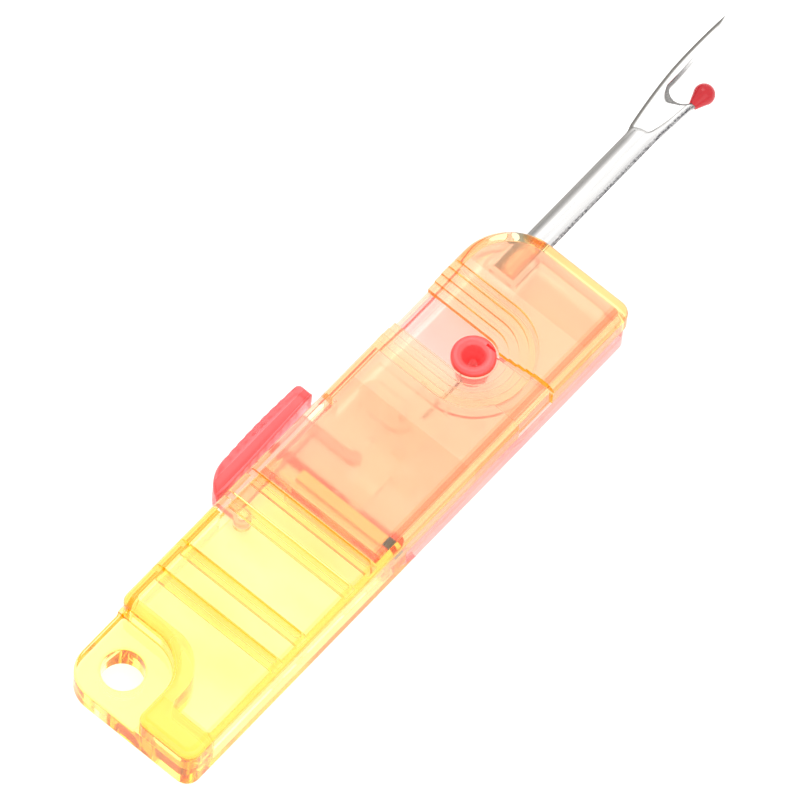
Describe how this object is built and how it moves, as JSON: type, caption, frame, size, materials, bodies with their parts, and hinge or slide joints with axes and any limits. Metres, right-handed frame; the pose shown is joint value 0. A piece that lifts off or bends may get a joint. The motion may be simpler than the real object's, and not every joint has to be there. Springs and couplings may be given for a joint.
{
  "type": "seam ripper",
  "caption": "Flat clear-plastic handle with a fixed forked seam-ripping blade, lanyard lug and a spring-return push-lever needle threader.",
  "frame": {"origin": "axis of the lanyard hole in the plane of the handle's back face", "axes": "+X towards the handle's right edge, +Y towards the blade, +Z out of the front face"},
  "size_m": [0.0258, 0.1289, 0.0086],
  "materials": {
    "yellow_shell": "clear moulded",
    "pink_shell": "clear moulded",
    "red_plastic": "moulded",
    "blade_steel": "polished",
    "pin_steel": "drawn",
    "white_plastic": "moulded"
  },
  "bodies": {
    "handle": {"front_shell": "yellow_shell", "handle_back": "yellow_shell", "mechanism_tray": "pink_shell", "back_cover": "pink_shell", "ripper_blade": "blade_steel", "safety_ball": "red_plastic", "slide_keeper": "pink_shell", "needle_funnel": "red_plastic", "lever_pivot_pin": "white_plastic", "return_spring": "white_plastic"},
    "lever": {"thumb_lever": "red_plastic"},
    "slide": {"threader_slide": "white_plastic", "threader_hook": "pin_steel"}
  },
  "joints": [
    {"name": "lever_press", "type": "hinge", "parent": "handle", "child": "lever", "pos_m": [-0.00305, 0.0268, 0.0044], "axis": [0, 0, -1], "range_deg": [0, 9], "stiffness_Nm_per_rad": 0.03, "springref_deg": -4.58},
    {"name": "hook_travel", "type": "slide", "parent": "handle", "child": "slide", "axis": [0, 1, 0], "range_m": [0, 0.0042], "deforming": ["return_spring"]}
  ],
  "couplings": [
    {"joint": "hook_travel", "follows": "lever_press", "m_per_rad": 0.0256}
  ]
}
